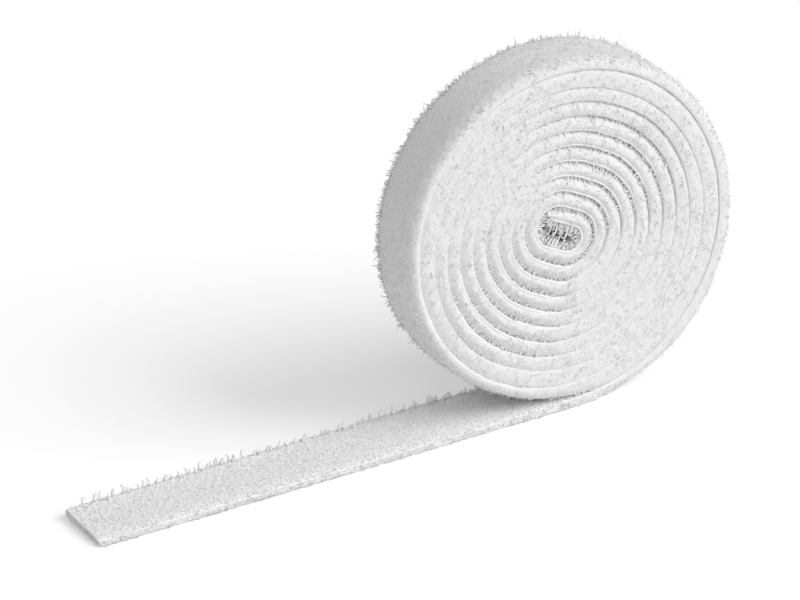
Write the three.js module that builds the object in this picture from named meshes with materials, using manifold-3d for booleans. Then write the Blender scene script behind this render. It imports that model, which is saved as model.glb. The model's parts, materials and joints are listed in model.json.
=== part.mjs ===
// Roll of back-to-back hook and loop tape with its free end lying on the table.
// Millimetres, +Z up. The roll's axis runs along Y, and the free end points to -X.
// The tape is three plies: loop fabric outside, laminating adhesive, hook film inside.
import * as THREE from 'three';
import { mergeVertices } from 'three/addons/utils/BufferGeometryUtils.js';
import Module from 'manifold-3d';

// The tape
const TAPE_WIDTH = 10;
const LOOP_PLY = 0.9; // knitted ground with its raised loops
const BOND_PLY = 0.1; // adhesive coat
const HOOK_PLY = 0.3; // film that carries the hooks
const HOOK_ROOM = 1; // space between turns, where the hooks stand

// The winding
const HALF_TURNS = 20; // whole half turns before the last bend down to the table
const CORE_RADIUS = 2.2; // bend of the bond line at the inner end
const CORE_TILT = 28; // degrees that the inner end slopes down to the right
const CORE_STRAIGHT = 3; // straight that makes the first turn oval, and fades out by the last
const TONGUE_CLEARANCE = 0.8; // from the straight inner end to the bend that faces it
const TURN_DRIFT = 0.1; // shift of each turn along the slope of the inner end
const CHORD_SAG = 0.28; // largest distance from a chord to its arc
const LEAST_TURN_GAP = 0.4; // turns that come closer than this would touch

// The free end
const FREE_LENGTH = 75; // from under the roll's last bend to the cut end
const HELD_LENGTH = 8; // flat stretch that stays with the roll
const STRETCHES = 4; // stretches of the free end that bend against each other
const BEND_GAP = 0.3; // slit between two stretches

// The hooks
const HOOK_HEIGHT = 0.9;
const HOOK_STEM = 0.14; // radius of the stem
const HOOK_REACH = 0.38; // from the stem's axis to the barb's point
const HOOK_DROP = 0.12; // fall of the barb's point below the crown
const HOOK_ROOT = 0.15; // depth of the stem's root in the film
const HOOK_SPACING = [1.45, 1.4]; // along and across the tape
const HOOK_MARGIN = 0.7; // bare edge round each field of hooks

const HOOK_FACE = -BOND_PLY / 2 - HOOK_PLY; // heights from the bond line, outwards
const BOND_INSIDE = -BOND_PLY / 2;
const BOND_OUTSIDE = BOND_PLY / 2;
const LOOP_FACE = BOND_PLY / 2 + LOOP_PLY;
const PITCH = LOOP_FACE - HOOK_FACE + HOOK_ROOM;

const wasm = await Module();
wasm.setup();

// Materials
const loopFabric = new THREE.MeshStandardMaterial({ color: 0xf1f1ef, roughness: 0.95, metalness: 0 });
const adhesive = new THREE.MeshStandardMaterial({ color: 0xdededa, roughness: 0.6, metalness: 0 });
const hookFilm = new THREE.MeshStandardMaterial({ color: 0xf6f6f4, roughness: 0.5, metalness: 0 });

// The bond line of the wound tape, from its inner end to the end of the held stretch.
// Seen from the front it turns clockwise in half turns that grow by half a pitch each.
function windingRoute() {
  const stations = [];
  const pen = { x: 0, z: 0, heading: -THREE.MathUtils.degToRad(CORE_TILT) };
  const mark = () => stations.push({ ...pen });
  const straight = (length) => {
    pen.x += length * Math.cos(pen.heading);
    pen.z += length * Math.sin(pen.heading);
    mark();
  };
  const bend = (radius, sweep) => {
    const outer = radius + LOOP_FACE;
    const steps = Math.ceil(sweep / (2 * Math.acos(1 - CHORD_SAG / outer)));
    const centreX = pen.x + radius * Math.sin(pen.heading);
    const centreZ = pen.z - radius * Math.cos(pen.heading);
    const start = pen.heading;
    for (let i = 1; i <= steps; i++) {
      pen.heading = start - (sweep * i) / steps;
      pen.x = centreX - radius * Math.sin(pen.heading);
      pen.z = centreZ + radius * Math.cos(pen.heading);
      mark();
    }
  };
  mark();
  // The inner end bridges the core, as far as the first left-hand bend leaves it room.
  const facingBend = CORE_RADIUS + PITCH / 2 + HOOK_FACE;
  const endRise = CORE_RADIUS + LOOP_FACE - PITCH / 2;
  straight(CORE_STRAIGHT + Math.sqrt(facingBend ** 2 - endRise ** 2) - TONGUE_CLEARANCE);
  for (let k = 0; k < HALF_TURNS; k++) {
    bend(CORE_RADIUS + (k * PITCH) / 2, Math.PI);
    straight(CORE_STRAIGHT * (1 - k / HALF_TURNS) + (k % 2 ? TURN_DRIFT : 0));
  }
  bend(CORE_RADIUS + (HALF_TURNS * PITCH) / 2, Math.PI - THREE.MathUtils.degToRad(CORE_TILT));
  const lift = { x: pen.x, z: pen.z };
  straight(HELD_LENGTH - BEND_GAP / 2);
  // The last bend ends at x = 0, with the loop face of the held stretch on the table.
  for (const s of stations) {
    s.x -= lift.x;
    s.z += LOOP_FACE - lift.z;
  }
  return stations;
}

// A point of the tape's side view, at a height from the bond line.
function offset(station, height) {
  return new THREE.Vector2(
    station.x - height * Math.sin(station.heading),
    station.z + height * Math.cos(station.heading),
  );
}

// A ply of the wound tape: the band between two heights, as wide as the tape.
function woundPly(route, inside, outside) {
  const outline = route.map((s) => offset(s, outside));
  outline.push(...route.map((s) => offset(s, inside)).reverse());
  const geometry = new THREE.ExtrudeGeometry(new THREE.Shape(outline), {
    depth: TAPE_WIDTH,
    bevelEnabled: false,
  });
  geometry.rotateX(Math.PI / 2);
  geometry.translate(0, TAPE_WIDTH / 2, 0);
  return geometry;
}

// The least distance from the hook face of one turn to the loop face of the turn inside it.
function leastTurnGap(route) {
  const hookSide = route.map((s) => offset(s, HOOK_FACE));
  const loopSide = route.map((s) => offset(s, LOOP_FACE));
  const line = new THREE.Line3();
  const near = new THREE.Vector3();
  const space = (p) => new THREE.Vector3(p.x, p.y, 0);
  const halfTurn = Math.PI;
  let least = Infinity;
  const measure = (points, edges) => {
    for (let i = 0; i < points.length; i++) {
      for (let j = 0; j + 1 < edges.length; j++) {
        if (Math.abs(route[i].heading - route[j].heading) < halfTurn) continue;
        line.set(space(edges[j]), space(edges[j + 1]));
        line.closestPointToPoint(space(points[i]), true, near);
        least = Math.min(least, near.distanceTo(space(points[i])));
      }
    }
  };
  measure(hookSide, loopSide);
  measure(loopSide, hookSide);
  return least;
}

// A closed mesh as a solid that can be joined.
function toSolid(geometry) {
  const bare = geometry.clone();
  bare.deleteAttribute('normal');
  bare.deleteAttribute('uv');
  const merged = mergeVertices(bare);
  return new wasm.Manifold(
    new wasm.Mesh({
      numProp: 3,
      vertProperties: new Float32Array(merged.attributes.position.array),
      triVerts: new Uint32Array(merged.index.array),
    }),
  );
}

function toGeometry(solid) {
  const made = solid.getMesh();
  const geometry = new THREE.BufferGeometry();
  geometry.setAttribute('position', new THREE.BufferAttribute(new Float32Array(made.vertProperties), 3));
  geometry.setIndex(new THREE.BufferAttribute(new Uint32Array(made.triVerts), 1));
  geometry.computeVertexNormals();
  return geometry;
}

// One hook, rooted at the origin: a three-sided stem, mitred at its crown, and a pointed barb towards +X.
function hookStrand() {
  const points = [];
  const ring = [0, 1, 2].map((i) => (i * 2 * Math.PI) / 3);
  for (const a of ring) {
    points.push(HOOK_STEM * Math.cos(a), HOOK_STEM * Math.sin(a), -HOOK_ROOT);
  }
  for (const a of ring) {
    const out = HOOK_STEM * Math.cos(a);
    points.push(out, HOOK_STEM * Math.sin(a), HOOK_HEIGHT - HOOK_STEM - out);
  }
  points.push(HOOK_REACH, 0, HOOK_HEIGHT - HOOK_STEM - HOOK_DROP);
  const faces = [0, 2, 1];
  for (let i = 0; i < 3; i++) {
    const j = (i + 1) % 3;
    faces.push(i, j, j + 3, i, j + 3, i + 3, i + 3, j + 3, 6);
  }
  const strand = new THREE.BufferGeometry();
  strand.setAttribute('position', new THREE.Float32BufferAttribute(points, 3));
  strand.setIndex(faces);
  return strand;
}

// Evenly spread places within a length, at the given spacing, clear of the margin at both ends.
function spread(length, spacing) {
  const count = Math.floor((length - 2 * HOOK_MARGIN) / spacing) + 1;
  return Array.from({ length: count }, (_, i) => (i - (count - 1) / 2) * spacing);
}

// A slab of one ply in the free end, reaching from the bend at x = 0 towards -X.
function slab(length, thickness) {
  const box = new THREE.BoxGeometry(length, TAPE_WIDTH, thickness);
  return box.translate(-length / 2, 0, thickness / 2);
}

// The hook film of one stretch, with its hooks in rows that face either way in turn.
function hookedFilm(length) {
  let solid = toSolid(slab(length, HOOK_PLY));
  const strand = hookStrand();
  spread(length, HOOK_SPACING[0]).forEach((along) => {
    spread(TAPE_WIDTH, HOOK_SPACING[1]).forEach((across, row) => {
      const hook = strand.clone();
      if (row % 2) hook.rotateZ(Math.PI);
      hook.translate(along - length / 2, across, HOOK_PLY);
      solid = solid.add(toSolid(hook));
    });
  });
  return toGeometry(solid);
}

function piece(name, geometry, material) {
  const mesh = new THREE.Mesh(geometry, material);
  mesh.name = name;
  return mesh;
}

// The wound roll
const tapeRoll = new THREE.Group();
const route = windingRoute();
const turnGap = leastTurnGap(route);
console.log(`least gap between turns ${turnGap.toFixed(2)} mm, wanted over ${LEAST_TURN_GAP} mm`);
tapeRoll.add(
  piece('winding_loop_strip', woundPly(route, BOND_OUTSIDE, LOOP_FACE), loopFabric),
  piece('winding_bond_film', woundPly(route, BOND_INSIDE, BOND_OUTSIDE), adhesive),
  piece('winding_hook_strip', woundPly(route, HOOK_FACE, BOND_INSIDE), hookFilm),
);

// The free end: each stretch is a group at the bend that it turns about, half a slit from its own end.
const stretchLength = (FREE_LENGTH - HELD_LENGTH) / STRETCHES;
for (let i = 1; i <= STRETCHES; i++) {
  const last = i === STRETCHES;
  const length = stretchLength - BEND_GAP / (last ? 2 : 1);
  const stretch = new THREE.Group();
  stretch.position.set(-HELD_LENGTH - (i - 1) * stretchLength - BEND_GAP / 2, 0, LOOP_FACE);
  const plies = [
    piece(`tail_${i}_loop_strip`, slab(length, LOOP_PLY), loopFabric),
    piece(`tail_${i}_bond_film`, slab(length, BOND_PLY), adhesive),
    piece(`tail_${i}_hook_strip`, hookedFilm(length), hookFilm),
  ];
  plies[0].position.z = -LOOP_FACE;
  plies[1].position.z = -BOND_OUTSIDE;
  plies[2].position.z = -BOND_INSIDE;
  stretch.add(...plies);
  tapeRoll.add(stretch);
}

// The origin is at the middle of the underside.
const box = new THREE.Box3().setFromObject(tapeRoll, true);
tapeRoll.position.set(-(box.min.x + box.max.x) / 2, 0, -box.min.z);

export default tapeRoll;
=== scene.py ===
import json
import math

import bmesh
import bpy
import numpy as np
from mathutils import Matrix, Vector, noise


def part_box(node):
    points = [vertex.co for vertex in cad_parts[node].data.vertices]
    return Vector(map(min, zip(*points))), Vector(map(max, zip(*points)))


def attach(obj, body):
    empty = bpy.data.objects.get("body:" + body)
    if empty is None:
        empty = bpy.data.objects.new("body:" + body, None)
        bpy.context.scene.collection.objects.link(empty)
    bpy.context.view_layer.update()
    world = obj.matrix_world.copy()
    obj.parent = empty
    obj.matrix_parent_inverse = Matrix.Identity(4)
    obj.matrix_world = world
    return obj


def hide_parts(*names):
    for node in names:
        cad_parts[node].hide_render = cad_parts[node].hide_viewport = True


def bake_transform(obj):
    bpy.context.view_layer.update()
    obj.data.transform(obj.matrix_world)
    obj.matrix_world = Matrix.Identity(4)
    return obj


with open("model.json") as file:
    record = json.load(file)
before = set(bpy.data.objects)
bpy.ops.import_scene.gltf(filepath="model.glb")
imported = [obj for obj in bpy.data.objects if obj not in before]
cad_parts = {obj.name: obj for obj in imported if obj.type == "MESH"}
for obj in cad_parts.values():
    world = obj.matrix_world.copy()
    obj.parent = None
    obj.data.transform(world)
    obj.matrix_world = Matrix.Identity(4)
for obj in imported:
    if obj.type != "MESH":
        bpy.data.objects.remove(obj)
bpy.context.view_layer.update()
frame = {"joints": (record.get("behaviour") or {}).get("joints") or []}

MM = 0.001
draw = np.random.default_rng(26)

# The tape's plies, read from the frame where it shows them
loop_low, loop_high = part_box("tail_4_loop_strip")
bond_low, bond_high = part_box("tail_4_bond_film")
TAPE_WIDTH = loop_high.y - loop_low.y
LOOP_PLY = loop_high.z - loop_low.z
BOND_PLY = bond_high.z - bond_low.z
HOOK_PLY = 0.3 * MM
HOOK_ROOM = 1.0 * MM
HOOK_FACE = -BOND_PLY / 2 - HOOK_PLY
GROUND = BOND_PLY / 2
LOOP_FACE = GROUND + LOOP_PLY
PITCH = LOOP_FACE - HOOK_FACE + HOOK_ROOM
HALF = TAPE_WIDTH / 2

# The winding, as the solids have it
HALF_TURNS = 20
CORE_RADIUS = 2.2 * MM
CORE_TILT = math.radians(28)
CORE_STRAIGHT = 3 * MM
TONGUE_CLEARANCE = 0.8 * MM
TURN_DRIFT = 0.1 * MM

# The free end, whose bends are the frame's joints
bends = [Vector(joint["pos_m"]) for joint in frame["joints"]]
STRETCH = bends[0].x - bends[1].x
HELD_LENGTH = 8 * MM
LIFT_OFF = bends[0].x + HELD_LENGTH
CUT_END = loop_low.x
TABLE_CLEARANCE = 0.01 * MM
FRONT_DROP = 0.4 * MM
BACK_RISE = 0.35 * MM
CUPPED_AFTER = 12 * MM


class TapeRoute:
    """The bond line of the tape as straight runs and clockwise bends, from the inner end to the cut end."""

    def __init__(self, heading):
        self.along = 0.0
        self.x = 0.0
        self.z = 0.0
        self.heading = heading
        self.runs = []

    def straight(self, length):
        self.runs.append((self.along, self.x, self.z, self.heading, 0.0))
        self.x += length * math.cos(self.heading)
        self.z += length * math.sin(self.heading)
        self.along += length

    def bend(self, radius, sweep):
        self.runs.append((self.along, self.x, self.z, self.heading, 1 / radius))
        after = self.heading - sweep
        self.x += radius * (math.sin(self.heading) - math.sin(after))
        self.z += radius * (math.cos(after) - math.cos(self.heading))
        self.heading = after
        self.along += radius * sweep

    def settle(self, x, z):
        """Shifts the route so that its last point lies at x and z."""
        shift = np.array([0, x - self.x, z - self.z, 0, 0])
        self.table = np.array(self.runs) + shift

    def run_at(self, along):
        """The run that holds each distance along the route: its start, place, heading and bending."""
        run = np.searchsorted(self.table[:, 0], along, side="right") - 1
        return self.table[np.clip(run, 0, None)].T

    def heading_at(self, along):
        """The route's heading at distances along it."""
        start, x, z, heading, bending = self.run_at(along)
        return heading - (along - start) * bending

    def lay(self, flat):
        """Points given along, across and out from the flat tape, laid on the route."""
        along, across, out = flat.T
        start, x, z, heading, bending = self.run_at(along)
        gone = along - start
        turned = heading - gone * bending
        straight = bending == 0
        radius = 1 / np.where(straight, 1, bending)
        x = x + np.where(straight, gone * np.cos(heading), radius * (np.sin(heading) - np.sin(turned)))
        z = z + np.where(straight, gone * np.sin(heading), radius * (np.cos(turned) - np.cos(heading)))
        return np.stack([x - out * np.sin(turned), across, z + out * np.cos(turned)], axis=1)


def tape_route():
    """The route of the whole tape, and how far along it the tape lifts off the roll."""
    route = TapeRoute(-CORE_TILT)
    facing_bend = CORE_RADIUS + PITCH / 2 + HOOK_FACE
    end_rise = CORE_RADIUS + LOOP_FACE - PITCH / 2
    route.straight(CORE_STRAIGHT + math.sqrt(facing_bend**2 - end_rise**2) - TONGUE_CLEARANCE)
    for half_turn in range(HALF_TURNS):
        route.bend(CORE_RADIUS + half_turn * PITCH / 2, math.pi)
        drift = TURN_DRIFT if half_turn % 2 else 0
        route.straight(CORE_STRAIGHT * (1 - half_turn / HALF_TURNS) + drift)
    route.bend(CORE_RADIUS + HALF_TURNS * PITCH / 2, math.pi - CORE_TILT)
    lift_off = route.along
    route.straight(LIFT_OFF - CUT_END)
    route.settle(CUT_END, LOOP_FACE)
    return route, lift_off


route, lift_off = tape_route()
tape_length = route.along
last_turn = lift_off - 2 * math.pi * (CORE_RADIUS + (HALF_TURNS - 1) * PITCH / 2)


# Finishes

class Wire:
    """A node's output socket: sums and products with it add Math nodes."""

    def __init__(self, finish, socket):
        self.finish = finish
        self.socket = socket

    def math(self, operation, first, second):
        return self.finish.node("ShaderNodeMath", {"operation": operation}, {0: first, 1: second})

    def __add__(self, other):
        return self.math("ADD", self, other)

    def __radd__(self, other):
        return self.math("ADD", other, self)

    def __sub__(self, other):
        return self.math("SUBTRACT", self, other)

    def __rsub__(self, other):
        return self.math("SUBTRACT", other, self)

    def __mul__(self, other):
        return self.math("MULTIPLY", self, other)

    def __rmul__(self, other):
        return self.math("MULTIPLY", other, self)


class Finish:
    """The nodes of a material or of the world, added one by one."""

    def __init__(self, owner):
        owner.use_nodes = True
        self.owner = owner
        self.tree = owner.node_tree

    def node(self, kind, settings=None, inputs=None, output=0):
        """Any node: its settings first, then the values or links of its sockets."""
        made = self.tree.nodes.new(kind)
        for name, value in (settings or {}).items():
            setattr(made, name, value)
        for name, value in (inputs or {}).items():
            self.put(made.inputs[name], value)
        return Wire(self, made.outputs[output])

    def put(self, socket, value):
        if isinstance(value, Wire):
            self.tree.links.new(value.socket, socket)
        else:
            socket.default_value = value

    def surface(self, inputs):
        """Values or links of the shader's own sockets."""
        for name, value in inputs.items():
            self.put(self.tree.nodes["Principled BSDF"].inputs[name], value)

    def flat_tape(self):
        """Places on the flat tape, in metres."""
        return self.node("ShaderNodeAttribute", {"attribute_name": "flat_tape"}, output="Vector")

    def grain(self, places, size, detail=2.0):
        """Noise whose patches are about the given size."""
        return self.node("ShaderNodeTexNoise", {}, {"Vector": places, "Scale": 1 / size, "Detail": detail})

    def between(self, factor, first, second):
        """A colour from first to second."""
        colours = {"Factor": factor, 6: (*first, 1), 7: (*second, 1)}
        return self.node("ShaderNodeMix", {"data_type": "RGBA"}, colours, 2)

    def bump(self, height, depth, strength):
        return self.node("ShaderNodeBump", {}, {"Height": height, "Distance": depth, "Strength": strength})


def white_nylon(name):
    """A new finish of white nylon."""
    finish = Finish(bpy.data.materials.new(name))
    finish.surface({"Specular IOR Level": 0.25})
    return finish


def scatter(finish, weight, depth):
    """Lets light wander under the surface, as white fibres do."""
    finish.surface({"Subsurface Weight": weight, "Subsurface Radius": (1, 1, 1), "Subsurface Scale": depth})


def brushed_loops():
    """The pile as a body: soft and matt, with tufts a third of a millimetre across."""
    finish = white_nylon("brushed_loops")
    places = finish.flat_tape()
    tufts = finish.grain(places, 0.35 * MM, 3.0)
    clumps = finish.grain(places, 1.1 * MM)
    patches = finish.grain(places, 6 * MM)
    tone = tufts * 0.4 + clumps * 0.4 + patches * 0.2
    finish.surface({
        "Base Color": finish.between(tone, (0.66, 0.66, 0.658), (0.90, 0.90, 0.898)),
        "Roughness": 0.95 - tufts * 0.15,
        "Normal": finish.bump(tufts, 0.15 * MM, 0.6),
    })
    return finish.owner


def loop_yarn():
    """Single loops of the pile: fine nylon yarn."""
    finish = white_nylon("loop_yarn")
    tone = finish.grain(finish.flat_tape(), 0.8 * MM)
    finish.surface({
        "Base Color": finish.between(tone, (0.84, 0.84, 0.838), (0.91, 0.91, 0.908)),
        "Roughness": 0.75 - tone * 0.15,
    })
    scatter(finish, 0.4, 0.5 * MM)
    return finish.owner


def hook_film():
    """The ground under the hooks: satin, with a fine even grain."""
    finish = white_nylon("hook_film")
    places = finish.flat_tape()
    fine = finish.grain(places, 0.3 * MM, 3.0)
    patches = finish.grain(places, 4 * MM)
    tone = fine * 0.6 + patches * 0.4
    finish.surface({
        "Base Color": finish.between(tone, (0.82, 0.82, 0.82), (0.90, 0.90, 0.898)),
        "Roughness": 0.55 + fine * 0.2,
        "Normal": finish.bump(fine, 0.05 * MM, 0.5),
        "Specular IOR Level": 0.4,
    })
    return finish.owner


def hook_nylon():
    """The hooks: smooth nylon, a little glossier than their ground."""
    finish = white_nylon("hook_nylon")
    tone = finish.grain(finish.flat_tape(), 1.2 * MM)
    finish.surface({
        "Base Color": finish.between(tone, (0.84, 0.84, 0.838), (0.92, 0.92, 0.918)),
        "Roughness": 0.5 + tone * 0.2,
        "Specular IOR Level": 0.35,
    })
    scatter(finish, 0.6, 0.6 * MM)
    return finish.owner


def bond_line():
    """The adhesive between the strips: greyer, seen only as a fine line at the edge."""
    finish = white_nylon("bond_line")
    tone = finish.grain(finish.flat_tape(), 0.6 * MM)
    finish.surface({
        "Base Color": finish.between(tone, (0.70, 0.70, 0.695), (0.84, 0.84, 0.835)),
        "Roughness": 0.6 + tone * 0.2,
    })
    return finish.owner


pile_finish = brushed_loops()
yarn_finish = loop_yarn()
film_finish = hook_film()
hook_finish = hook_nylon()
bond_finish = bond_line()


# The plies

def rolled_on(mesh, name, material):
    """A flat mesh as a piece: its flat places are kept for the finish, and it is laid on the route."""
    flat = np.empty(len(mesh.vertices) * 3)
    mesh.vertices.foreach_get("co", flat)
    flat = flat.reshape(-1, 3)
    kept = mesh.attributes.new("flat_tape", "FLOAT_VECTOR", "POINT")
    kept.data.foreach_set("vector", flat.ravel())
    laid = route.lay(flat)
    off_roll = np.clip((flat[:, 0] - lift_off) / CUPPED_AFTER, 0, 1)
    to_front = np.clip(-flat[:, 1] / HALF, 0, 1)
    to_back = np.clip(flat[:, 1] / HALF, 0, 1)
    rise = BACK_RISE * to_back**2 - FRONT_DROP * to_front**4
    laid[:, 2] += off_roll * rise * np.clip(laid[:, 2] / LOOP_FACE, 0, 1)
    laid[:, 2] = np.maximum(laid[:, 2], TABLE_CLEARANCE)
    mesh.vertices.foreach_set("co", laid.ravel())
    mesh.update()
    mesh.materials.append(material)
    piece = bpy.data.objects.new(name, mesh)
    bpy.context.scene.collection.objects.link(piece)
    return piece


def outline_lengths(outline):
    """Distances along a line of points."""
    return np.concatenate([[0], np.cumsum(np.linalg.norm(np.diff(outline, axis=0), axis=1))])


def both_sides(half_section):
    """A section from its front half, given as (inset from the tape's edge in mm, height) points."""
    front = np.array(half_section) * [MM, 1] - [HALF, 0]
    return np.concatenate([front, front[::-1] * [-1, 1]])


def ply(name, material, section, start, end, step, shaped):
    """A ply between two places along the tape: the section at each place, closed below, then shaped."""
    steps = max(1, round((end - start) / step))
    places = np.linspace(start, end, steps + 1)
    sections = [section(along) for along in places]
    around = len(sections[0]) + 1
    bm = bmesh.new()
    bmesh.ops.create_grid(bm, x_segments=steps, y_segments=around, size=0.5)
    for vert in bm.verts:
        place = round((vert.co.x + 0.5) * steps)
        point = round((vert.co.y + 0.5) * around)
        if point in (0, around):
            across, height = 0, sections[place][0][1]
        else:
            across, height = sections[place][point - 1]
        vert.co = shaped(Vector((places[place], across, height)))
    bmesh.ops.remove_doubles(bm, verts=bm.verts[:], dist=0.001 * MM)
    rims = [edge for edge in bm.edges if edge.is_boundary]
    bmesh.ops.edgeloop_fill(bm, edges=rims)
    for face in bm.faces:
        face.smooth = True
    for edge in rims:
        edge.smooth = False
    bmesh.ops.recalc_face_normals(bm, faces=bm.faces[:])
    mesh = bpy.data.meshes.new(name)
    bm.to_mesh(mesh)
    bm.free()
    return rolled_on(mesh, name, material)


# Sections of the pile, each as (inset from the tape's edge in mm, share of the pile's height)
# Loose and tight ones lie between turns, covering and free ones on the last turn, pressed ones on the table
LOOSE_PILE = both_sides([
    (0.02, 0.0), (-0.03, 0.03), (-0.07, 0.08), (-0.11, 0.14), (-0.13, 0.21), (-0.13, 0.29),
    (-0.09, 0.37), (-0.01, 0.46), (0.14, 0.57), (0.40, 0.74), (0.78, 1.0),
])
TIGHT_PILE = both_sides([
    (-0.02, -0.66), (-0.09, -0.60), (-0.12, -0.50), (-0.135, -0.38), (-0.14, -0.22), (-0.14, 0.0),
    (-0.14, 0.22), (-0.135, 0.46), (-0.12, 0.70), (-0.09, 0.88), (0.0, 1.0),
])
COVERING_PILE = both_sides([
    (-0.02, -0.40), (-0.10, -0.26), (-0.14, -0.06), (-0.10, 0.18), (0.02, 0.38), (0.19, 0.56),
    (0.39, 0.68), (0.62, 0.79), (0.95, 0.89), (1.35, 0.965), (1.85, 1.0),
])
FREE_PILE = both_sides([
    (0.02, 0.0), (-0.10, 0.05), (-0.13, 0.14), (-0.07, 0.28), (0.04, 0.42), (0.19, 0.56),
    (0.39, 0.68), (0.62, 0.79), (0.95, 0.89), (1.35, 0.965), (1.85, 1.0),
])
PRESSED_PILE = both_sides([
    (0.20, 0.0), (0.06, -0.24), (-0.06, -0.24), (-0.13, -0.12), (-0.17, 0.02), (-0.20, 0.20),
    (-0.22, 0.40), (-0.24, 0.60), (-0.25, 0.80), (-0.24, 0.95), (-0.18, 1.0),
])
WOUND_PILE = 1.9 * MM
LAST_TURN_PILE = 1.3 * MM
TAIL_PILE = 0.84 * MM
# Stages along the tape: place, height of the pile, and its section where the turns lie tight and loose
PILE_STAGES = [
    (0, 1.15 * MM, LOOSE_PILE, LOOSE_PILE),
    (5 * MM, 1.88 * MM, LOOSE_PILE, LOOSE_PILE),
    (80 * MM, 1.88 * MM, TIGHT_PILE, LOOSE_PILE),
    (last_turn - 8 * MM, WOUND_PILE, TIGHT_PILE, LOOSE_PILE),
    (last_turn + 10 * MM, LAST_TURN_PILE, COVERING_PILE, FREE_PILE),
    (lift_off - 78 * MM, 1.25 * MM, COVERING_PILE, FREE_PILE),
    (lift_off - 58 * MM, 1.45 * MM, COVERING_PILE, FREE_PILE),
    (lift_off - 38 * MM, 1.9 * MM, COVERING_PILE, FREE_PILE),
    (lift_off - 18 * MM, 2.2 * MM, COVERING_PILE, FREE_PILE),
    (lift_off - 9 * MM, 1.4 * MM, COVERING_PILE, FREE_PILE),
    (lift_off - 2 * MM, TAIL_PILE, PRESSED_PILE, PRESSED_PILE),
    (tape_length - 4 * MM, TAIL_PILE, PRESSED_PILE, PRESSED_PILE),
    (tape_length, 0.5 * MM, PRESSED_PILE, PRESSED_PILE),
]
PILE_PLACES = [place for place, height, tight, loose in PILE_STAGES]
PILE_HEIGHTS = [height for place, height, tight, loose in PILE_STAGES]
TIGHT_SECTIONS = np.array([tight for place, height, tight, loose in PILE_STAGES])
LOOSE_SECTIONS = np.array([loose for place, height, tight, loose in PILE_STAGES])
PILE_POINTS = np.arange(len(FREE_PILE), dtype=float)
TOP_START = len(FREE_PILE) // 2 - 1
TOP_POINTS = 16
across_top = np.linspace(TOP_START, TOP_START + 1, TOP_POINTS + 2)[1:-1]
WIDE_PILE_POINTS = np.sort(np.concatenate([PILE_POINTS, across_top]))


def pile_height(along):
    return np.interp(along, PILE_PLACES, PILE_HEIGHTS)


# The tape's headings at the loosest places, the share at the upper left, and the least looseness anywhere
UPPER_RIGHT = math.radians(-45)
LOWER_LEFT = math.radians(142)
UPPER_LEFT_SHARE = 0.42
LEAST_LOOSENESS = 0.34


def looseness(along):
    """How loosely the turns lie: most at the upper right and lower left, and less further out."""
    heading = route.heading_at(along)
    upper_right = np.clip(np.cos(heading - UPPER_RIGHT), 0, 1)
    lower_left = np.clip(np.cos(heading - LOWER_LEFT), 0, 1) ** 2
    upper_left = UPPER_LEFT_SHARE * np.clip(np.sin(heading + CORE_TILT), 0, 1)
    inner = np.interp(along, [0, 0.5 * last_turn, last_turn], [1, 0.85, 0.4])
    spread = (upper_right + lower_left) * inner + upper_left
    return np.clip(1.4 * spread - 0.3, LEAST_LOOSENESS, 1)


def on_pile(along, point):
    """Places on the pile, from distances along the tape and points of its section from the front."""
    stage = np.interp(along, PILE_PLACES, np.arange(len(PILE_PLACES)))
    before = np.minimum(stage.astype(int), len(PILE_PLACES) - 2)
    corner = np.minimum(point.astype(int), len(FREE_PILE) - 2)
    loose = looseness(along)[:, None]
    later = (stage - before)[:, None]
    further = (point - corner)[:, None]

    def corner_at(stages, corners):
        return TIGHT_SECTIONS[stages, corners] * (1 - loose) + LOOSE_SECTIONS[stages, corners] * loose

    near = corner_at(before, corner) * (1 - further) + corner_at(before, corner + 1) * further
    far = corner_at(before + 1, corner) * (1 - further) + corner_at(before + 1, corner + 1) * further
    across, share = (near * (1 - later) + far * later).T
    return np.stack([along, across, GROUND + share * pile_height(along)], axis=1)


def pile_section(along):
    return on_pile(np.full(len(PILE_POINTS), along), PILE_POINTS)[:, 1:]


def wide_pile_section(along):
    return on_pile(np.full(len(WIDE_PILE_POINTS), along), WIDE_PILE_POINTS)[:, 1:]


FILM_SECTION = both_sides([
    (0.05, -GROUND),
    (0.00, -GROUND - 0.04 * MM),
    (0.00, HOOK_FACE + 0.06 * MM),
    (0.06, HOOK_FACE),
])
SOFT_FILM_EDGE = both_sides([
    (0.10, -GROUND),
    (0.00, -GROUND - 0.05 * MM),
    (0.02, -GROUND - 0.12 * MM),
    (0.16, HOOK_FACE + 0.09 * MM),
    (0.45, HOOK_FACE),
])
FILM_POINTS = 40
film_places = np.linspace(SOFT_FILM_EDGE[4, 0], SOFT_FILM_EDGE[5, 0], FILM_POINTS + 2)[1:-1]
across_film = [(across, HOOK_FACE) for across in film_places]
WIDE_FILM_SECTION = np.array([*SOFT_FILM_EDGE[:5], *across_film, *SOFT_FILM_EDGE[5:]])
BOND_SECTION = both_sides([(0.03, -GROUND), (0.03, GROUND)])


def film_section(along):
    return FILM_SECTION


def wide_film_section(along):
    return WIDE_FILM_SECTION


def bond_section(along):
    return BOND_SECTION


def wander(place, size):
    """Smooth noise from -1 to 1, with waves of about the given size."""
    return noise.noise(place * (1 / size))


# The widths of the pile's and the film's edges, and the pile's pull to the side as a share of its lift
TUFTED_EDGE = 0.9 * MM
FILM_EDGE = 0.3 * MM
SIDE_PULL = 1.7
# Sizes and depths of the tufts, the slow waves along both edges and the film's grain
TUFTS = [(1.3 * MM, 0.08 * MM), (0.6 * MM, 0.10 * MM)]
EDGE_WAVE = (5 * MM, 0.08 * MM)
FILM_EDGE_WAVE = (2.2 * MM, 0.06 * MM)
FILM_GRAIN = [(0.5 * MM, 0.09 * MM), (0.25 * MM, 0.05 * MM)]


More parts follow.
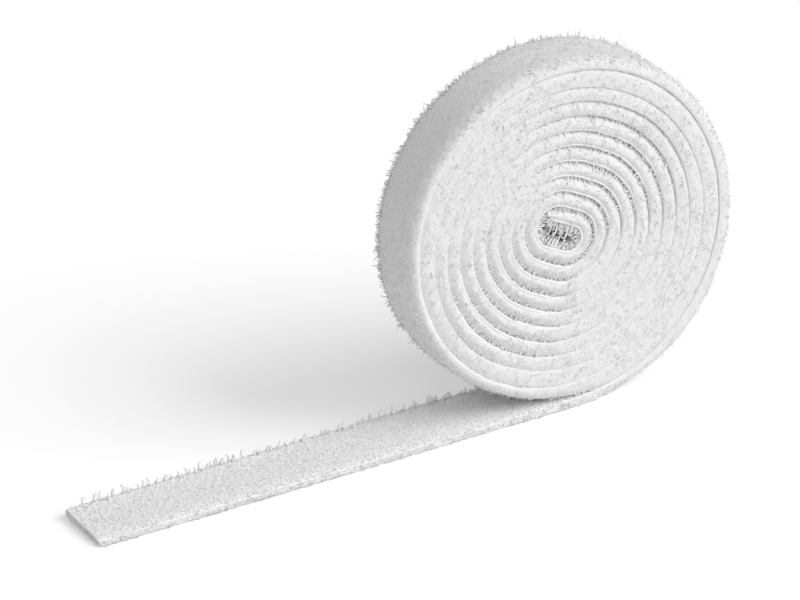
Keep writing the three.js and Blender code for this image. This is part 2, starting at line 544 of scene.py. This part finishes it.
def tufted(place):
    """A point of the pile, raised and pushed out by tufts that neighbouring turns share."""
    raised = (place.z - GROUND) / float(pile_height(place.x))
    laid = Vector(route.lay(np.array([place]))[0])
    pull = sum(wander(laid, size) * depth for size, depth in TUFTS)
    near_edge = min(1, max(0, abs(place.y) - HALF + TUFTED_EDGE) / TUFTED_EDGE)
    size, depth = EDGE_WAVE
    wave = wander(Vector((laid.x, math.copysign(HALF, laid.y), laid.z)), size) * depth
    push = near_edge * min(1, 0.4 + 2 * abs(raised)) * (SIDE_PULL * pull + wave)
    lift = pull * raised * (0.65 + 0.35 * near_edge)
    return Vector((place.x, place.y + math.copysign(push, place.y), place.z + lift))


def slit(place):
    """A point of the hook film: its edge is slightly uneven, and its hook side is grained."""
    near_edge = abs(place.y) > HALF - FILM_EDGE
    size, depth = FILM_EDGE_WAVE
    side = wander(Vector((place.x, math.copysign(HALF, place.y), 0)), size) * depth
    under_hooks = place.z < HOOK_FACE + 0.02 * MM
    grain = sum(wander(place, size) * depth for size, depth in FILM_GRAIN)
    return Vector((place.x, place.y + side * near_edge, place.z + grain * under_hooks))


def plain(place):
    return place


# Hooks and loops

STEM = 0.13 * MM
STOUT = 0.24 * MM


def strand(path, radius, sides, taper=1.0):
    """A small closed strand: a ring carried from the origin upwards in steps of (forward, turn)."""
    bm = bmesh.new()
    bmesh.ops.create_circle(bm, cap_ends=True, segments=sides, radius=radius)
    tip = bm.faces[:]
    heading = Vector((0, 0, 1))
    for forward, turn in path:
        made = bmesh.ops.extrude_face_region(bm, geom=tip)["geom"]
        bmesh.ops.delete(bm, geom=tip, context="FACES_ONLY")
        tip = [item for item in made if isinstance(item, bmesh.types.BMFace)]
        ring = tip[0].verts[:]
        bmesh.ops.translate(bm, verts=ring, vec=heading * forward)
        middle = tip[0].calc_center_median()
        bending = Matrix.Rotation(turn, 3, "Y")
        bmesh.ops.rotate(bm, verts=ring, cent=middle, matrix=bending)
        bmesh.ops.scale(bm, verts=ring, vec=(taper, taper, taper), space=Matrix.Translation(-middle))
        heading = bending @ heading
    bmesh.ops.create_circle(bm, cap_ends=True, segments=sides, radius=radius)
    bmesh.ops.remove_doubles(bm, verts=bm.verts[:], dist=radius * 0.01)
    bmesh.ops.triangulate(bm, faces=bm.faces[:])
    bmesh.ops.recalc_face_normals(bm, faces=bm.faces[:])
    points = np.array([vert.co[:] for vert in bm.verts])
    faces = np.array([[vert.index for vert in face.verts] for face in bm.faces])
    bm.free()
    return points, faces


def beside(first, second, shift):
    """Two strands as one shape, the second shifted along X and turned round."""
    points, faces = second
    points = points * [-1, -1, 1] + [shift, 0, 0]
    return np.concatenate([first[0], points]), np.concatenate([first[1], faces + len(first[0])])


def hook(height, crook, radius=STEM):
    """A hook: a straight stem and a crook of the given radius that points back down."""
    turn = math.radians(42)
    half_stem = (height - crook) / 2
    arc = [(crook * turn, turn)] * 4
    return strand([(half_stem, 0), (half_stem, turn / 2), *arc], radius, sides=5, taper=0.91)


def bent_hook(length, turn):
    """A stout hook whose crook is pulled open."""
    crook = [(length * 0.3, math.radians(turn))] * 2
    return strand([(length * 0.4, math.radians(turn / 2)), *crook], STOUT, sides=5, taper=0.78)


def stub(height):
    """The cut leg that stands next to a hook."""
    return strand([(height * 0.6, math.radians(10)), (height * 0.4, 0)], STEM, sides=4, taper=0.85)


def yarn_loop(width, height, radius):
    """A raised loop of yarn: up, over and down again."""
    turn = math.radians(45)
    leg = height - width / 2
    return strand([(leg, turn), *[(width * 0.42, turn)] * 3, (leg, 0)], radius, sides=3)


def yarn_curl(length, turn, radius, taper=0.9):
    """A loose end of yarn that curls over."""
    return strand([(length / 4, math.radians(turn))] * 4, radius, sides=3, taper=taper)


HOOKS = [
    beside(hook(0.8 * MM, 0.16 * MM), stub(0.4 * MM), -0.28 * MM),
    hook(0.7 * MM, 0.14 * MM),
    beside(hook(0.85 * MM, 0.17 * MM), stub(0.5 * MM), -0.32 * MM),
    hook(0.6 * MM, 0.16 * MM),
    beside(hook(0.75 * MM, 0.15 * MM), hook(0.55 * MM, 0.14 * MM), -0.3 * MM),
]
SHORT_HOOKS = [
    hook(0.32 * MM, 0.10 * MM),
    hook(0.26 * MM, 0.10 * MM),
    beside(hook(0.34 * MM, 0.11 * MM), stub(0.22 * MM), -0.25 * MM),
    hook(0.28 * MM, 0.12 * MM),
]
TALL_HOOKS = [
    bent_hook(1.1 * MM, 30),
    bent_hook(0.85 * MM, 20),
    beside(bent_hook(1.0 * MM, 38), bent_hook(0.7 * MM, 15), -0.45 * MM),
    hook(0.9 * MM, 0.22 * MM, STOUT),
    bent_hook(0.7 * MM, 35),
]
CORE_HOOKS = [
    hook(1.7 * MM, 0.20 * MM),
    hook(1.4 * MM, 0.18 * MM),
    beside(hook(1.8 * MM, 0.20 * MM), hook(1.2 * MM, 0.16 * MM), -0.4 * MM),
]
FINE_YARN = 0.026 * MM
NAP = [
    yarn_loop(0.34 * MM, 0.42 * MM, FINE_YARN),
    yarn_loop(0.42 * MM, 0.5 * MM, FINE_YARN),
    yarn_loop(0.28 * MM, 0.36 * MM, FINE_YARN),
    yarn_loop(0.5 * MM, 0.46 * MM, FINE_YARN),
    yarn_curl(0.6 * MM, 38, FINE_YARN),
]
FULL_YARN = 0.05 * MM
FUZZ = [
    yarn_loop(0.24 * MM, 0.34 * MM, FULL_YARN),
    yarn_curl(0.4 * MM, 25, 0.08 * MM, 0.75),
    yarn_curl(0.34 * MM, 12, 0.09 * MM, 0.75),
    yarn_curl(0.45 * MM, 30, 0.06 * MM, 0.8),
]
SPIKE = 0.16 * MM
SPIKES = [
    yarn_loop(0.3 * MM, 0.6 * MM, 0.07 * MM),
    yarn_curl(0.95 * MM, 12, SPIKE, 0.68),
    yarn_curl(0.75 * MM, 5, SPIKE, 0.68),
    yarn_curl(0.85 * MM, 9, SPIKE, 0.66),
    yarn_curl(0.6 * MM, 3, SPIKE, 0.68),
]


def scattered(name, material, shapes, spots, outs, sizes, spins):
    """Copies of small shapes on the flat tape, each turned about its own outward direction."""
    which = draw.integers(len(shapes), size=len(spots))
    outs = outs / np.linalg.norm(outs, axis=1, keepdims=True)
    level = np.where(abs(outs[:, :1]) > 0.8, [[0.0, 1.0, 0.0]], [[1.0, 0.0, 0.0]])
    aside = np.cross(outs, level)
    aside /= np.linalg.norm(aside, axis=1, keepdims=True)
    ahead = np.cross(aside, outs)
    swung = np.cos(spins)[:, None] * ahead + np.sin(spins)[:, None] * aside
    turns = np.stack([swung, np.cross(outs, swung), outs], axis=2) * sizes[:, None, None]
    all_points = []
    all_faces = []
    offset = 0
    for index, (points, faces) in enumerate(shapes):
        chosen = np.flatnonzero(which == index)
        placed = np.einsum("nij,kj->nki", turns[chosen], points) + spots[chosen][:, None]
        starts = offset + np.arange(len(chosen)) * len(points)
        all_points.append(placed.reshape(-1, 3))
        all_faces.append((faces[None] + starts[:, None, None]).reshape(-1, 3))
        offset += len(chosen) * len(points)
    mesh = bpy.data.meshes.new(name)
    mesh.from_pydata(np.concatenate(all_points), [], np.concatenate(all_faces))
    mesh.shade_smooth()
    return rolled_on(mesh, name, material)


pile_lengths = outline_lengths(FREE_PILE * [1, LAST_TURN_PILE])
PILE_ROUND = pile_lengths[-1]
wound_lengths = outline_lengths(TIGHT_PILE * [1, WOUND_PILE])
WOUND_ROUND = wound_lengths[-1]
LOOP_ROOT = 0.08 * MM
LOOP_LEAN = 0.4
HOOK_ROOT = 0.06 * MM
HOOK_LEAN = 0.18
HOOK_SWING = 0.5
HOOK_MARGIN = 0.15 * MM


def pile_loops(name, shapes, start, end, bands, density, lengths=pile_lengths):
    """Single loops on the pile between two places, in bands around its section, at a number per m2."""
    counts = [round((end - start) * (high - low) * density) for low, high in bands]
    along = draw.uniform(start, end, sum(counts))
    around = [draw.uniform(low, high, count) for (low, high), count in zip(bands, counts)]
    point = np.interp(np.concatenate(around), lengths, PILE_POINTS)
    spots = on_pile(along, point)
    slopes = on_pile(along, point + 0.05) - spots
    outs = slopes[:, [0, 2, 1]] * [1, -1, 1]
    outs /= np.linalg.norm(outs, axis=1, keepdims=True)
    return tossed(name, shapes, spots, outs)


def tossed(name, shapes, spots, outs):
    """Loops of uneven sizes at the given places, each leaning its own way."""
    outs = outs + draw.normal(0, LOOP_LEAN, outs.shape)
    outs /= np.linalg.norm(outs, axis=1, keepdims=True)
    sizes = draw.gamma(8, 0.1, len(spots)).clip(0.4, 1.5)
    spins = draw.uniform(0, 2 * math.pi, len(spots))
    return scattered(name, yarn_finish, shapes, spots - outs * LOOP_ROOT, outs, sizes, spins)


def end_loops(name, along, facing, count):
    """Loops that stand out of the pile's cut end."""
    across = draw.uniform(-HALF, HALF, count)
    height = GROUND + draw.uniform(0.1, 0.95, count) * pile_height(along)
    spots = np.stack([np.full(count, along), across, height], axis=1)
    return tossed(name, NAP + FUZZ, spots, np.full((count, 3), [facing, 0.0, 0.0]))


def hook_field(name, shapes, start, end, insets, spacing, smallest=0.75, largest=1.12):
    """Hooks in loose rows along the film, at distances from its front edge, facing either way along it."""
    places = np.arange(start, end, spacing)
    along, inset = np.meshgrid(places, insets)
    spots = np.stack([along.ravel(), inset.ravel() - HALF, np.full(along.size, HOOK_FACE)], axis=1)
    spots[:, :2] += draw.normal(0, 0.2 * spacing, (len(spots), 2))
    spots[:, 1] = spots[:, 1].clip(-HALF + HOOK_MARGIN, HALF - HOOK_MARGIN)
    spots = spots[(spots[:, 0] > start) & (spots[:, 0] < end)]
    outs = draw.normal(0, HOOK_LEAN, spots.shape) + [0, 0, -1]
    outs /= np.linalg.norm(outs, axis=1, keepdims=True)
    spots -= outs * HOOK_ROOT
    sizes = draw.uniform(smallest, largest, len(spots))
    spins = draw.integers(2, size=len(spots)) * math.pi + draw.normal(0, HOOK_SWING, len(spots))
    return scattered(name, hook_finish, shapes, spots, outs, sizes, spins)


# The wound roll

def wound(piece, slot, *nodes):
    """A piece of the wound roll."""
    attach(piece, "winding")
    if nodes:
        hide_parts(*nodes)


PILE_STEP = 0.3 * MM
BOND_STEP = 0.8 * MM
WOUND_FILM_STEP = 0.5 * MM
INNER_PILE_START = -0.7 * MM
wound(ply("wound_pile", pile_finish, pile_section, INNER_PILE_START, last_turn, PILE_STEP, tufted),
      "loop_fabric", "winding_loop_strip")
wound(ply("outer_turn_pile", pile_finish, wide_pile_section, last_turn, lift_off, PILE_STEP, tufted),
      "loop_fabric", "winding_loop_strip")
wound(ply("wound_bond_line", bond_finish, bond_section, 0, lift_off, BOND_STEP, plain),
      "bond_film", "winding_bond_film")
wound(ply("wound_hook_film", film_finish, film_section, 0, lift_off, WOUND_FILM_STEP, slit),
      "hook_film", "winding_hook_strip")

# Loops per square metre
OUTER_NAP_DENSITY = 3e6
RIM_FUZZ_DENSITY = 3e6
RIM_SPIKE_DENSITY = 6.5e6
EDGE_FUZZ_DENSITY = 5.5e6
TAIL_NAP_DENSITY = 5e6
TAIL_FUZZ_DENSITY = 9e6
UNDER_NAP_DENSITY = 4e6

# Loops on the outside of the last turn, in bands around the pile's section
OUTER_PARTS = 2
outer_start = last_turn - 4 * MM
outer_part = (lift_off - outer_start) / OUTER_PARTS
OVER_TOP = [(2 * MM, PILE_ROUND - 2 * MM)]
FRONT_RIM = [(0.5 * MM, 2.2 * MM)]
BACK_RIM = [(PILE_ROUND - 2.3 * MM, PILE_ROUND - 0.9 * MM)]
for part in range(OUTER_PARTS):
    start = outer_start + part * outer_part
    name = f"outer_nap_{part + 1}"
    wound(pile_loops(name, NAP, start, start + outer_part, OVER_TOP, OUTER_NAP_DENSITY), "loop_fabric")
rim_fuzz = pile_loops("rim_fuzz_front", FUZZ, outer_start, lift_off, FRONT_RIM, RIM_FUZZ_DENSITY)
wound(rim_fuzz, "loop_fabric")
rim_spikes = pile_loops("rim_spikes_back", SPIKES, outer_start, lift_off, BACK_RIM, RIM_SPIKE_DENSITY)
wound(rim_spikes, "loop_fabric")

# Loops and hooks along the edges of all turns
EDGE_PARTS = 2
EDGE_SPACING = 0.6 * MM
TURN_EDGES = {"front": (0.3 * MM, 2.6 * MM), "back": (WOUND_ROUND - 2.6 * MM, WOUND_ROUND - 0.3 * MM)}
EDGE_INSETS = {"front": [0.35 * MM], "back": [TAPE_WIDTH - 0.35 * MM]}
edge_part = lift_off / EDGE_PARTS
for side, edge in TURN_EDGES.items():
    for part in range(EDGE_PARTS):
        start = part * edge_part
        end = start + edge_part
        name = f"edge_fuzz_{side}_{part + 1}"
        fuzz = pile_loops(name, NAP + FUZZ, start, end, [edge], EDGE_FUZZ_DENSITY, wound_lengths)
        wound(fuzz, "loop_fabric")
    row = hook_field(f"edge_hooks_{side}", HOOKS, 0, lift_off, EDGE_INSETS[side], EDGE_SPACING)
    wound(row, "hook_film")

# Hooks in the core and in the wedge where the tape leaves the roll
HOOK_SPACING = 1.1 * MM
CORE_SPACING = 0.8 * MM
CORE_EDGE_SPACING = 0.45 * MM
CORE_LENGTH = 30 * MM
wedge_start = lift_off - 6 * MM
core_insets = np.arange(0.6 * MM, TAPE_WIDTH - 0.5 * MM, CORE_SPACING)
core_edge_insets = np.array([0.5 * MM, 1.1 * MM, TAPE_WIDTH - 0.5 * MM])
wedge_insets = np.arange(1.6 * MM, TAPE_WIDTH - 1.5 * MM, HOOK_SPACING)
core_field = hook_field("core_hooks", CORE_HOOKS, 0, CORE_LENGTH, core_insets, EDGE_SPACING,
                        smallest=0.9, largest=1.25)
wound(core_field, "hook_film")
core_rows = hook_field("core_edge_hooks", HOOKS, 0, CORE_LENGTH, core_edge_insets, CORE_EDGE_SPACING,
                       smallest=1.0, largest=1.6)
wound(core_rows, "hook_film")
wedge_field = hook_field("wedge_hooks", HOOKS, wedge_start, lift_off, wedge_insets, HOOK_SPACING)
wound(wedge_field, "hook_film")
wound(end_loops("inner_end_loops", 0, facing=-1.0, count=240), "loop_fabric")

# The free end, cut between bends so that each piece holds one of them
bodies = ["winding", "tail_1", "tail_2", "tail_3", "tail_4"]
cuts = [LIFT_OFF] + [bend.x - STRETCH / 2 for bend in bends] + [CUT_END]
BARE_END = 2.4 * MM
TAIL_FILM_STEP = 0.2 * MM
TAIL_SPACING = 0.5 * MM
TAIL_EDGES = [(0.15 * MM, 2.2 * MM), (PILE_ROUND - 2.2 * MM, PILE_ROUND - 0.15 * MM)]
tail_insets = np.arange(0.2 * MM, TAPE_WIDTH - 0.1 * MM, TAIL_SPACING)
far_insets = np.array([TAPE_WIDTH - 0.3 * MM])


def on_tail(piece, number, node=None):
    """A piece of the free end: kept where it lies with its transform applied, or riding on the last body.
    """
    if number < len(bodies):
        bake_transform(piece)
    else:
        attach(piece, bodies[-1])
    if node:
        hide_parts(node)


for number in range(1, len(cuts)):
    start = lift_off + LIFT_OFF - cuts[number - 1]
    end = lift_off + LIFT_OFF - cuts[number]
    node = f"tail_{min(number, len(bends))}_"
    pile = ply(f"tail_pile_{number}", pile_finish, wide_pile_section, start, end, PILE_STEP, tufted)
    bond = ply(f"tail_bond_line_{number}", bond_finish, bond_section, start, end, BOND_STEP, plain)
    film = ply(f"tail_hook_film_{number}", film_finish, wide_film_section, start, end, TAIL_FILM_STEP, slit)
    hooks = hook_field(f"tail_hooks_{number}", SHORT_HOOKS, start, end, tail_insets, TAIL_SPACING,
                       smallest=0.5, largest=0.95)
    nap = pile_loops(f"tail_nap_{number}", NAP, start, end, TAIL_EDGES, TAIL_NAP_DENSITY)
    fuzz = pile_loops(f"tail_fuzz_{number}", FUZZ, start, end, TAIL_EDGES, TAIL_FUZZ_DENSITY)
    under = pile_loops(f"tail_under_nap_{number}", NAP + FUZZ, start, end, OVER_TOP, UNDER_NAP_DENSITY)
    on_tail(pile, number, node + "loop_strip")
    on_tail(bond, number, node + "bond_film")
    on_tail(film, number, node + "hook_strip")
    on_tail(hooks, number)
    on_tail(nap, number)
    on_tail(fuzz, number)
    on_tail(under, number)
    tall_end = min(end, tape_length - BARE_END)
    row = hook_field(f"tail_edge_hooks_{number}", TALL_HOOKS, start, tall_end, far_insets, HOOK_SPACING,
                     smallest=0.9, largest=1.3)
    on_tail(row, number)
on_tail(end_loops("cut_end_loops", tape_length, facing=1.0, count=70), len(cuts) - 1)


# The stage

def seen_directly(finish):
    """1 for rays from the camera, also by way of a mirror or glass, and 0 for light on things."""
    camera = finish.node("ShaderNodeLightPath", output="Is Camera Ray")
    mirror = finish.node("ShaderNodeLightPath", output="Is Glossy Ray")
    glass = finish.node("ShaderNodeLightPath", output="Is Transmission Ray")
    return camera + mirror + glass


def paper_floor():
    """A pale floor that shows white where no shadow falls."""
    finish = Finish(bpy.data.materials.new("paper_floor"))
    finish.surface({
        "Base Color": (0.95, 0.95, 0.95, 1),
        "Roughness": 1.0,
        "Specular IOR Level": 0.0,
        "Emission Color": seen_directly(finish) * 0.22,
        "Emission Strength": 1.0,
    })
    return finish.owner


def soft_room():
    """An even room light that shows white itself."""
    finish = Finish(bpy.data.worlds.new("soft_room"))
    light = finish.node("ShaderNodeBackground", {}, {"Color": (1, 1, 1, 1), "Strength": 0.39})
    white = finish.node("ShaderNodeBackground", {}, {"Color": (1, 1, 1, 1), "Strength": 1.0})
    shown = finish.node("ShaderNodeMixShader", {}, {0: seen_directly(finish), 1: light, 2: white})
    finish.put(finish.tree.nodes["World Output"].inputs["Surface"], shown)
    return finish.owner


FLOOR_REACH = 4
bm = bmesh.new()
bmesh.ops.create_grid(bm, x_segments=1, y_segments=1, size=FLOOR_REACH)
floor_mesh = bpy.data.meshes.new("floor")
bm.to_mesh(floor_mesh)
bm.free()
floor_mesh.materials.append(paper_floor())
floor = bpy.data.objects.new("floor", floor_mesh)
bpy.context.scene.collection.objects.link(floor)
bpy.context.scene.world = soft_room()


def lamp(name, azimuth, elevation, strength, width):
    """A soft distant lamp, from a direction given as for a view, in degrees."""
    data = bpy.data.lights.new(name, "SUN")
    data.energy = strength
    data.angle = math.radians(width)
    made = bpy.data.objects.new(name, data)
    made.rotation_euler = (math.radians(90 - elevation), 0, math.radians(azimuth))
    bpy.context.scene.collection.objects.link(made)


lamp("key", azimuth=45, elevation=36, strength=1.72, width=40)
lamp("low", azimuth=-30, elevation=25, strength=0.2, width=40)
lamp("front", azimuth=0, elevation=50, strength=0.45, width=60)

# The camera, fitted to the photograph in lengths of the roll's radius
WIDTH_IN_RADII = 0.3829
AIM_LEFT_IN_RADII = 0.95373
AIM_UP_IN_RADII = 0.81683
DISTANCE_IN_RADII = 35
ROLL_RADIUS = TAPE_WIDTH / WIDTH_IN_RADII
CAMERA_AZIMUTH = -0.47638581
CAMERA_ELEVATION = 0.44561235
CAMERA_ROLL = -0.05931203
CAMERA_DISTANCE = DISTANCE_IN_RADII * ROLL_RADIUS
LENS_PIXELS = 6588
FRAME_PIXELS = 800
wound_low, wound_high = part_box("winding_loop_strip")
roll_middle = (wound_low.x + wound_high.x) / 2
aim = Vector((roll_middle - AIM_LEFT_IN_RADII * ROLL_RADIUS, 0, AIM_UP_IN_RADII * ROLL_RADIUS))
back = Vector((
    math.sin(CAMERA_AZIMUTH) * math.cos(CAMERA_ELEVATION),
    -math.cos(CAMERA_AZIMUTH) * math.cos(CAMERA_ELEVATION),
    math.sin(CAMERA_ELEVATION),
))
right = Vector((0, 0, 1)).cross(back).normalized()
up = back.cross(right)
upright = Matrix((right, up, back)).transposed()
camera_data = bpy.data.cameras.new("camera")
camera_data.sensor_width = 36
camera_data.lens = LENS_PIXELS / FRAME_PIXELS * camera_data.sensor_width
camera_data.clip_end = 20
camera = bpy.data.objects.new("camera", camera_data)
camera.matrix_world = (
    Matrix.Translation(aim + back * CAMERA_DISTANCE)
    @ (upright @ Matrix.Rotation(CAMERA_ROLL, 3, "Z")).to_4x4()
)
bpy.context.scene.collection.objects.link(camera)
bpy.context.scene.camera = camera
bpy.context.scene.view_settings.view_transform = "Standard"
